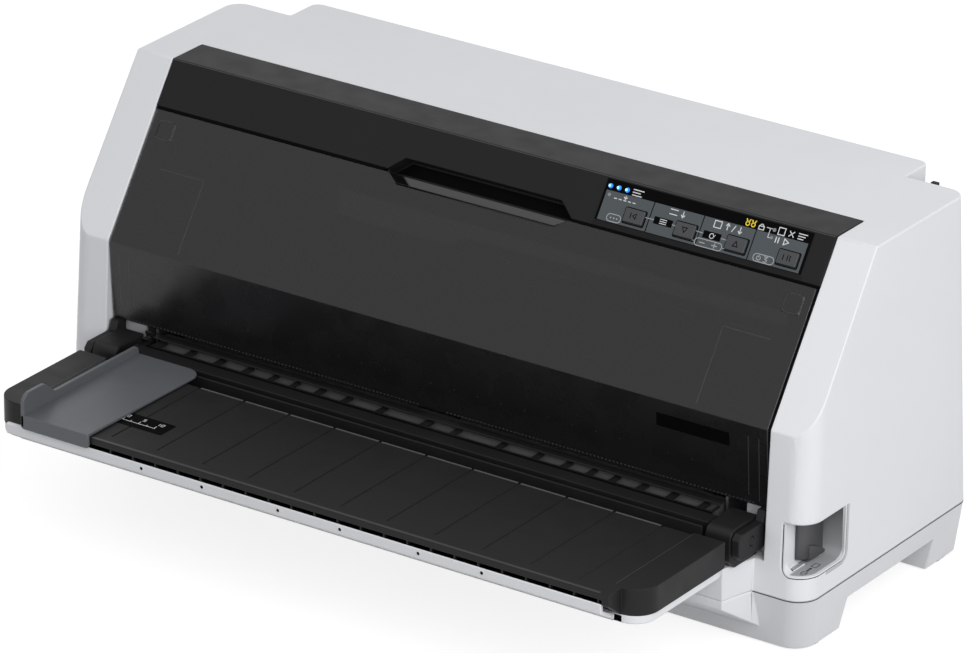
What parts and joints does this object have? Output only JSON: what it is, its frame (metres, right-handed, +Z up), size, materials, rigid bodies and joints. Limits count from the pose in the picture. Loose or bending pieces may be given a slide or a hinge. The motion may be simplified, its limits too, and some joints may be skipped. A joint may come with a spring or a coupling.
{
  "type": "dot matrix printer",
  "caption": "White flatbed dot matrix printer with a black top panel, smoked hinged front cover, front paper tray with sliding guide and rear paper guide.",
  "frame": {"origin": "middle of the footprint on the floor under the feet, with the tray and the rear guide counted", "axes": "+X right seen from the front, +Y back, +Z up; the front faces -Y"},
  "size_m": [0.48, 0.372, 0.212],
  "materials": {
    "case_white": "satin",
    "tray_black": "satin",
    "panel_black": "gloss",
    "smoked_cover": "gloss",
    "guide_grey": "satin",
    "roller_grey": "matte",
    "black_rubber": "matte",
    "steel": "satin",
    "gear_plastic": "satin",
    "circuit_green": "satin",
    "blue_light": "gloss",
    "motor_metal": "satin",
    "head_aluminium": "satin",
    "ribbon_cloth": "matte"
  },
  "bodies": {
    "housing": {"base_frame": "steel", "carriage_motor": "motor_metal", "case_screws": "steel", "control_label": "panel_black", "cover_hinge_arms": "tray_black", "drive_belt": "black_rubber", "feed_motor": "motor_metal", "front_guide": "tray_black", "guide_rail": "steel", "guide_shaft": "steel", "lower_case": "case_white", "main_board": "circuit_green", "panel_board": "circuit_green", "paper_bed": "tray_black", "platen_bar": "steel", "port_block": "tray_black", "power_inlet": "tray_black", "power_supply": "motor_metal", "rear_hooks": "tray_black", "ribbon": "ribbon_cloth", "ribbon_cartridge": "tray_black", "rubber_feet": "black_rubber", "side_frame_left": "steel", "side_frame_right": "steel", "status_lights": "blue_light", "top_panel": "panel_black", "tractor_rail": "steel", "tray_top": "tray_black", "tray_under": "case_white", "upper_case": "case_white"},
    "cover": {"front_cover": "smoked_cover", "cover_knuckles": "tray_black"},
    "guide": {"edge_guide": "guide_grey"},
    "lever": {"release_lever": "guide_grey"},
    "tear_off_button_body": {"tear_off_button": "guide_grey"},
    "line_feed_button_body": {"line_feed_button": "guide_grey"},
    "load_button_body": {"load_button": "guide_grey"},
    "pause_button_body": {"pause_button": "guide_grey"},
    "front_roller": {"front_feed_roller": "roller_grey", "front_roller_gear": "tray_black"},
    "rear_roller": {"rear_feed_roller": "roller_grey", "rear_roller_gear": "gear_plastic"},
    "front_pinch": {"front_pinch_rollers": "black_rubber"},
    "rear_pinch": {"rear_pinch_rollers": "black_rubber"},
    "transfer": {"transfer_gear": "gear_plastic"},
    "feed_pinion": {"motor_pinion": "gear_plastic"},
    "idler": {"idler_gear": "gear_plastic"},
    "print_carriage": {"carriage": "tray_black", "print_head": "head_aluminium"},
    "drive_pulley": {"motor_pulley": "gear_plastic"},
    "idle_pulley": {"end_pulley": "gear_plastic"},
    "ribbon_winder": {"ribbon_knob": "guide_grey"},
    "left_tractor": {"tractor_left": "tray_black"},
    "right_tractor": {"tractor_right": "tray_black"},
    "left_lid": {"tractor_lid_left": "guide_grey"},
    "right_lid": {"tractor_lid_right": "guide_grey"},
    "left_wheel": {"pin_wheel_left": "gear_plastic"},
    "right_wheel": {"pin_wheel_right": "gear_plastic"},
    "drive_shaft": {"tractor_shaft": "steel"},
    "rear_paper_guide": {"rear_guide": "tray_black"}
  },
  "joints": [
    {"name": "cover_swing", "type": "hinge", "parent": "housing", "child": "cover", "pos_m": [0, -0.076, 0.0665], "axis": [1, 0, 0], "range_deg": [0, 80]},
    {"name": "guide_slide", "type": "slide", "parent": "housing", "child": "guide", "axis": [1, 0, 0], "range_m": [-0.004, 0.028]},
    {"name": "lever_swing", "type": "hinge", "parent": "housing", "child": "lever", "pos_m": [0.228, -0.044, 0.028], "axis": [1, 0, 0], "range_deg": [0, 8]},
    {"name": "tear_off_button_press", "type": "slide", "parent": "housing", "child": "tear_off_button_body", "axis": [0, 0.8231, -0.5679], "range_m": [0, 0.0012], "stiffness_N_per_m": 250, "springref_m": -0.0003},
    {"name": "line_feed_button_press", "type": "slide", "parent": "housing", "child": "line_feed_button_body", "axis": [0, 0.8231, -0.5679], "range_m": [0, 0.0012], "stiffness_N_per_m": 250, "springref_m": -0.0003},
    {"name": "load_button_press", "type": "slide", "parent": "housing", "child": "load_button_body", "axis": [0, 0.8231, -0.5679], "range_m": [0, 0.0012], "stiffness_N_per_m": 250, "springref_m": -0.0003},
    {"name": "pause_button_press", "type": "slide", "parent": "housing", "child": "pause_button_body", "axis": [0, 0.8231, -0.5679], "range_m": [0, 0.0012], "stiffness_N_per_m": 250, "springref_m": -0.0003},
    {"name": "front_roller_spin", "type": "hinge", "parent": "housing", "child": "front_roller", "pos_m": [0, -0.054, 0.0656], "axis": [1, 0, 0], "continuous": true},
    {"name": "rear_roller_spin", "type": "hinge", "parent": "housing", "child": "rear_roller", "pos_m": [0, 0.0285, 0.0656], "axis": [1, 0, 0], "continuous": true},
    {"name": "front_pinch_spin", "type": "hinge", "parent": "housing", "child": "front_pinch", "pos_m": [0, -0.0515, 0.079], "axis": [1, 0, 0], "continuous": true},
    {"name": "rear_pinch_spin", "type": "hinge", "parent": "housing", "child": "rear_pinch", "pos_m": [0, 0.031, 0.079], "axis": [1, 0, 0], "continuous": true},
    {"name": "transfer_spin", "type": "hinge", "parent": "housing", "child": "transfer", "pos_m": [-0.187, -0.01275, 0.0656], "axis": [1, 0, 0], "continuous": true},
    {"name": "pinion_spin", "type": "hinge", "parent": "housing", "child": "feed_pinion", "pos_m": [-0.187, 0.0107, 0.03795], "axis": [1, 0, 0], "continuous": true},
    {"name": "idler_spin", "type": "hinge", "parent": "housing", "child": "idler", "pos_m": [-0.187, 0.04465, 0.0538], "axis": [1, 0, 0], "continuous": true},
    {"name": "carriage_travel", "type": "slide", "parent": "housing", "child": "print_carriage", "axis": [1, 0, 0], "range_m": [0, 0.268]},
    {"name": "drive_pulley_spin", "type": "hinge", "parent": "housing", "child": "drive_pulley", "pos_m": [-0.168, 0.06, 0.097], "axis": [0, 0, 1], "range_deg": [-1, 2327.56]},
    {"name": "idle_pulley_spin", "type": "hinge", "parent": "housing", "child": "idle_pulley", "pos_m": [0.168, 0.06, 0.097], "axis": [0, 0, 1], "range_deg": [-1, 2327.56]},
    {"name": "winder_spin", "type": "hinge", "parent": "housing", "child": "ribbon_winder", "pos_m": [-0.15, -0.012, 0.142], "axis": [0, 0, 1], "continuous": true},
    {"name": "left_tractor_slide", "type": "slide", "parent": "housing", "child": "left_tractor", "axis": [1, 0, 0], "range_m": [-0.024, 0.05]},
    {"name": "right_tractor_slide", "type": "slide", "parent": "housing", "child": "right_tractor", "axis": [1, 0, 0], "range_m": [-0.05, 0.024]},
    {"name": "left_lid_swing", "type": "hinge", "parent": "left_tractor", "child": "left_lid", "pos_m": [-0.127, 0.0745, 0.07745], "axis": [0, -1, 0], "range_deg": [0, 85]},
    {"name": "right_lid_swing", "type": "hinge", "parent": "right_tractor", "child": "right_lid", "pos_m": [0.127, 0.0745, 0.07745], "axis": [0, 1, 0], "range_deg": [0, 85]},
    {"name": "left_wheel_spin", "type": "hinge", "parent": "left_tractor", "child": "left_wheel", "pos_m": [-0.12, 0.07, 0.0606], "axis": [1, 0, 0], "continuous": true},
    {"name": "right_wheel_spin", "type": "hinge", "parent": "right_tractor", "child": "right_wheel", "pos_m": [0.12, 0.07, 0.0606], "axis": [1, 0, 0], "continuous": true},
    {"name": "drive_shaft_spin", "type": "hinge", "parent": "housing", "child": "drive_shaft", "pos_m": [0, 0.07, 0.0606], "axis": [1, 0, 0], "continuous": true},
    {"name": "rear_guide_fold", "type": "hinge", "parent": "housing", "child": "rear_paper_guide", "pos_m": [0, 0.103, 0.055], "axis": [1, 0, 0], "range_deg": [0, 60]}
  ],
  "couplings": [
    {"joint": "rear_roller_spin", "follows": "front_roller_spin", "ratio": 1},
    {"joint": "front_pinch_spin", "follows": "front_roller_spin", "ratio": -1.6},
    {"joint": "rear_pinch_spin", "follows": "front_roller_spin", "ratio": -1.6},
    {"joint": "transfer_spin", "follows": "front_roller_spin", "ratio": -0.43478},
    {"joint": "pinion_spin", "follows": "front_roller_spin", "ratio": 1.6667},
    {"joint": "idler_spin", "follows": "front_roller_spin", "ratio": -1.6667},
    {"joint": "drive_shaft_spin", "follows": "front_roller_spin", "ratio": 0.66667},
    {"joint": "left_wheel_spin", "follows": "front_roller_spin", "ratio": 0.66667},
    {"joint": "right_wheel_spin", "follows": "front_roller_spin", "ratio": 0.66667},
    {"joint": "drive_pulley_spin", "follows": "carriage_travel", "rad_per_m": 151.52},
    {"joint": "idle_pulley_spin", "follows": "carriage_travel", "rad_per_m": 151.52}
  ]
}
